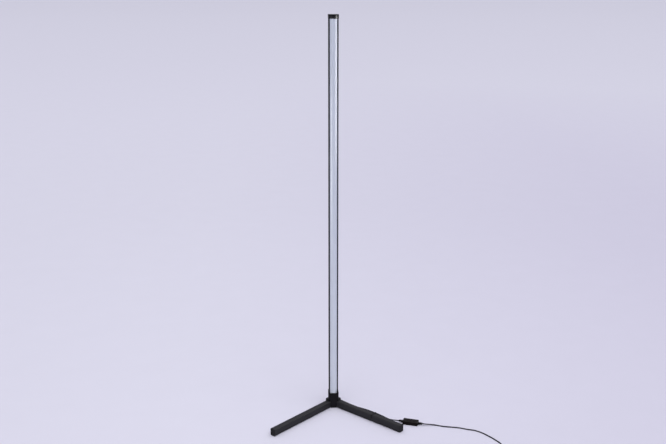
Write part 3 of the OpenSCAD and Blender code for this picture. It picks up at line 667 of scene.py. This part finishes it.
# The diffuser's front, half of its chord and its rise over that chord
DIFFUSER_FRONT, DIFFUSER_HALF, DIFFUSER_RISE = -23.25, 12.6, 9.65
CAP_OVER = 1.1
BOW_STEPS = 28
# Radii of the cap's upright edges: beside the bow, at the front corners and at the back corners
BOW_EDGE_R, CAP_FRONT_R, CAP_BACK_R = 0.9, 1.6, 6.1
PLUG_HALF, PLUG_FRONT, PLUG_BACK, PLUG_DEPTH = 14.9, 2.9, 11.4, 12


def make_cap():
    """The cap with the plug under it, which goes into the column's rear chamber."""
    radius = (DIFFUSER_HALF * DIFFUSER_HALF + DIFFUSER_RISE * DIFFUSER_RISE) / (2 * DIFFUSER_RISE)
    centre_y = DIFFUSER_FRONT + radius
    reach = radius + CAP_OVER
    front = COLUMN_FRONT - CAP_OVER
    cross = math.sqrt(reach * reach - (front - centre_y) ** 2)
    start = math.atan2(front - centre_y, -cross)
    end = math.atan2(front - centre_y, cross)
    turns = [start + (end - start) * k / BOW_STEPS for k in range(BOW_STEPS + 1)]
    bow = [(reach * math.cos(a), centre_y + reach * math.sin(a)) for a in turns]
    half, back = COLUMN_W / 2 + CAP_OVER, COLUMN_BACK + CAP_OVER
    corners = bow + [(half, front), (half, back), (-half, back), (-half, front)]
    radii = [BOW_EDGE_R] + [0] * (BOW_STEPS - 1) + [BOW_EDGE_R]
    radii += [CAP_FRONT_R, CAP_BACK_R, CAP_BACK_R, CAP_FRONT_R]
    outline = rounded(corners, radii, 7)
    bm = bmesh.new()
    loft(bm, softened_loops(outline, COLUMN_TOP, LAMP_TOP, 0.25, 0.8, 5))
    plug = rounded([(-PLUG_HALF, PLUG_FRONT), (PLUG_HALF, PLUG_FRONT),
                    (PLUG_HALF, PLUG_BACK), (-PLUG_HALF, PLUG_BACK)], (0.5, 0.5, 3.2, 3.2), 5)
    loft(bm, softened_loops(plug, COLUMN_TOP - PLUG_DEPTH, COLUMN_TOP + 0.5, 0.5, 0, 2))
    piece = dressed("cap_moulding", bm, "top_cap")
    smooth_below(piece, 50)
    return piece


# ---- The other mouldings: the construction's faces with the radii of a mould ----

# Node: the name of the piece that replaces it, and its edges' radius in millimetres
ROUNDED = {
    "diffuser_lower": ("cover_lower", 0.3),
    "diffuser_middle": ("cover_middle", 0.3),
    "diffuser_upper": ("cover_upper", 0.3),
    "leg_plug_left": ("plug_face_left", 0.5),
    "leg_plug_right": ("plug_face_right", 0.5),
    "cord_clip": ("clip_moulding", 0.25),
    "controller_base": ("controller_shell_base", 0.35),
    "controller_cover": ("controller_shell_cover", 0.35),
    "plug_body": ("plug_moulding", 0.8),
    "button_left": ("key_left", 0.25),
    "button_middle": ("key_middle", 0.25),
    "button_right": ("key_right", 0.25),
    "cord_grommet": ("grommet_moulding", 0.2),
    "relief_in": ("relief_moulding_in", 0.2),
    "relief_out": ("relief_moulding_out", 0.2),
}
mouldings = {"hub_body": make_hub(), "top_cap": make_cap()}
for node, (name, width) in ROUNDED.items():
    mouldings[node] = dressed(name, clean_copy(node), node)
    round_edges(mouldings[node], width)


# ---- What the cords are ----

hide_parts("lead_cord")
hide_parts("supply_cord", "cord_coil", "plug_cord")
for piece in (lead, supply):
    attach(piece, "lamp")


# ---- Studio ----

FLOOR = (0.708, 0.699, 0.820)
BACKDROP = (0.600, 0.588, 0.700)
# Half of the floor's side in metres
FLOOR_HALF = 90
# Painted shade: brightness of the floor against its colour, by distance from the lamp in metres,
# darker far away where less light falls
FALL = ((0.3, 1.0), (3.0, 0.940), (7.0, 0.930), (14.0, 0.900), (40.0, 0.855), (FLOOR_HALF, 0.84))
# Painted shade on the right, where less light falls: its factor, where it comes in along X, and
# where it fades out
PAINTED_SIDE_SHADE = (0.90, 0.88, 0.93)
SIDE_IN = (-0.6, 2.4)
SIDE_OUT = (2.5, 10)


def make_floor():
    """Large pale paper floor, with painted shade that makes it a little darker far away and to the
    right.
    """
    mesh = bpy.data.meshes.new("floor")
    bm = bmesh.new()
    for x, y in ((-1, -1), (1, -1), (1, 1), (-1, 1)):
        bm.verts.new((x * FLOOR_HALF, y * FLOOR_HALF, 0))
    bm.faces.new(bm.verts)
    bm.to_mesh(mesh)
    bm.free()
    obj = bpy.data.objects.new("floor", mesh)
    bpy.context.scene.collection.objects.link(obj)
    m = Finish("floor_paper", FLOOR, 0.9)
    m.constants(specular_ior_level=0.0)
    axes = m.node("ShaderNodeSeparateXYZ")
    m.feed(axes.inputs[0], m.place)
    reach = m.node("ShaderNodeVectorMath", operation="LENGTH")
    m.feed(reach.inputs[0], m.place)
    # Painted shade: the floor darker by distance from the lamp
    ramp = m.node("ShaderNodeValToRGB")
    root = m.node("ShaderNodeMath", operation="SQRT")
    m.feed(root.inputs[0], m.spread(reach.outputs["Value"], 0, 1, 0, FLOOR_HALF))
    m.feed(ramp.inputs[0], root.outputs[0])
    stops = ramp.color_ramp.elements
    while len(stops) < len(FALL):
        stops.new(0.5)
    for stop, (distance, level) in zip(stops, FALL):
        stop.position = math.sqrt(distance / FLOOR_HALF)
        stop.color = (level, level, level, 1)
    # Painted shade on the right of the floor, fading out with distance
    beside = m.spread(axes.outputs["X"], 0, 1, *SIDE_IN)
    near = m.spread(reach.outputs["Value"], 1, 0, *SIDE_OUT)
    side = m.node("ShaderNodeMath", operation="MULTIPLY")
    m.feed(side.inputs[0], beside)
    m.feed(side.inputs[1], near)
    # The painted shade on the right as a colour factor
    tint = m.mixed(side.outputs[0], (1, 1, 1), PAINTED_SIDE_SHADE)
    # The floor's colour times the painted shade by distance and the painted shade on the right
    pale = (*FLOOR, 1)
    for layer in (ramp.outputs["Color"], tint):
        product = m.node("ShaderNodeMix", data_type="RGBA", blend_type="MULTIPLY")
        product.inputs[0].default_value = 1
        m.feed(product.inputs[6], pale)
        m.feed(product.inputs[7], layer)
        pale = product.outputs[2]
    fibre = m.spread(m.noise(7, 5, 0.6), 0.985, 1.0)
    m.paint(m.mixed(fibre, (0, 0, 0), pale))
    obj.data.materials.append(m.data)


ROOM_FRONT = (0.06, 0.06, 0.066)
ROOM_BACK = (0.58, 0.57, 0.65)
OVERHEAD = (0.95, 0.95, 0.96)


def make_world():
    """Soft overhead light, a pale backdrop behind the lamp and a darker room in front of it."""
    world = bpy.data.worlds.new("studio")
    bpy.context.scene.world = world
    world.use_nodes = True
    tree = world.node_tree
    background = tree.nodes["Background"]
    background.inputs["Strength"].default_value = 1
    way = tree.nodes.new("ShaderNodeTexCoord").outputs["Generated"]
    axes = tree.nodes.new("ShaderNodeSeparateXYZ")
    tree.links.new(way, axes.inputs[0])

    def ramp(value, a, b):
        made = tree.nodes.new("ShaderNodeMapRange")
        made.interpolation_type = "SMOOTHSTEP"
        tree.links.new(value, made.inputs["Value"])
        made.inputs["From Min"].default_value = a
        made.inputs["From Max"].default_value = b
        return made.outputs["Result"]

    def mix(factor, first, second):
        made = tree.nodes.new("ShaderNodeMix")
        made.data_type = "RGBA"
        tree.links.new(factor, made.inputs[0])
        for socket, value in ((made.inputs[6], first), (made.inputs[7], second)):
            if isinstance(value, bpy.types.NodeSocket):
                tree.links.new(value, socket)
            else:
                socket.default_value = (*value, 1)
        return made.outputs[2]

    room = mix(ramp(axes.outputs["Y"], -0.1, 0.5), ROOM_FRONT, ROOM_BACK)
    lit = mix(ramp(axes.outputs["Z"], 0.45, 0.8), room, OVERHEAD)
    rays = tree.nodes.new("ShaderNodeLightPath")
    tree.links.new(mix(rays.outputs["Is Camera Ray"], lit, BACKDROP), background.inputs["Color"])


# Energy, angle across and tilt of the key, in degrees
KEY_ENERGY, KEY_ANGLE, KEY_TILT = 1.22, 70, (29, 8, 0)
# Energy, size in metres, spread in degrees, place and heading of the fill
FILL_ENERGY, FILL_SIZE, FILL_SPREAD = 1.62, (1.3, 0.8), 100
FILL_PLACE, FILL_TILT = (-0.9, -2.0, 0.5), (90, 0, -24)
# Softboxes that show as reflections only: place, point faced, width and height, strength
SOFTBOXES = {
    "softbox_right": ((2.2, -0.35, 0.92), (0, 0, 0.92), 1.6, 0.86, 9.0),
    "softbox_behind": ((1.9, 1.3, 0.92), (0, 0, 0.92), 1.6, 0.86, 4.0),
    "softbox_left": ((-2.0, -0.85, 0.45), (0, 0, 0.45), 1.5, 0.86, 5.2),
}


def hung(name, kind, energy, place=(0, 0, 0)):
    """A lamp of the given kind in the scene, and the object that holds it."""
    light = bpy.data.lights.new(name, kind)
    light.energy = energy
    holder = bpy.data.objects.new(name, light)
    holder.location = place
    bpy.context.scene.collection.objects.link(holder)
    return light, holder


def shape_box(light, width, height):
    light.shape = "RECTANGLE"
    light.size, light.size_y = width, height


def make_lamps():
    light, holder = hung("key", "SUN", KEY_ENERGY)
    light.angle = math.radians(KEY_ANGLE)
    holder.rotation_euler = [math.radians(a) for a in KEY_TILT]
    light, holder = hung("fill", "AREA", FILL_ENERGY, FILL_PLACE)
    shape_box(light, *FILL_SIZE)
    light.spread = math.radians(FILL_SPREAD)
    holder.rotation_euler = [math.radians(a) for a in FILL_TILT]
    holder.visible_glossy = False
    holder.visible_camera = False
    for name, (place, target, width, height, strength) in SOFTBOXES.items():
        light, holder = hung(name, "AREA", strength * math.pi * width * height, place)
        shape_box(light, width, height)
        facing = Vector(target) - Vector(place)
        holder.rotation_euler = facing.to_track_quat("-Z", "Y").to_euler()
        holder.visible_diffuse = False
        holder.visible_camera = False


make_floor()
make_world()
make_lamps()
bpy.context.scene.view_settings.view_transform = "Standard"
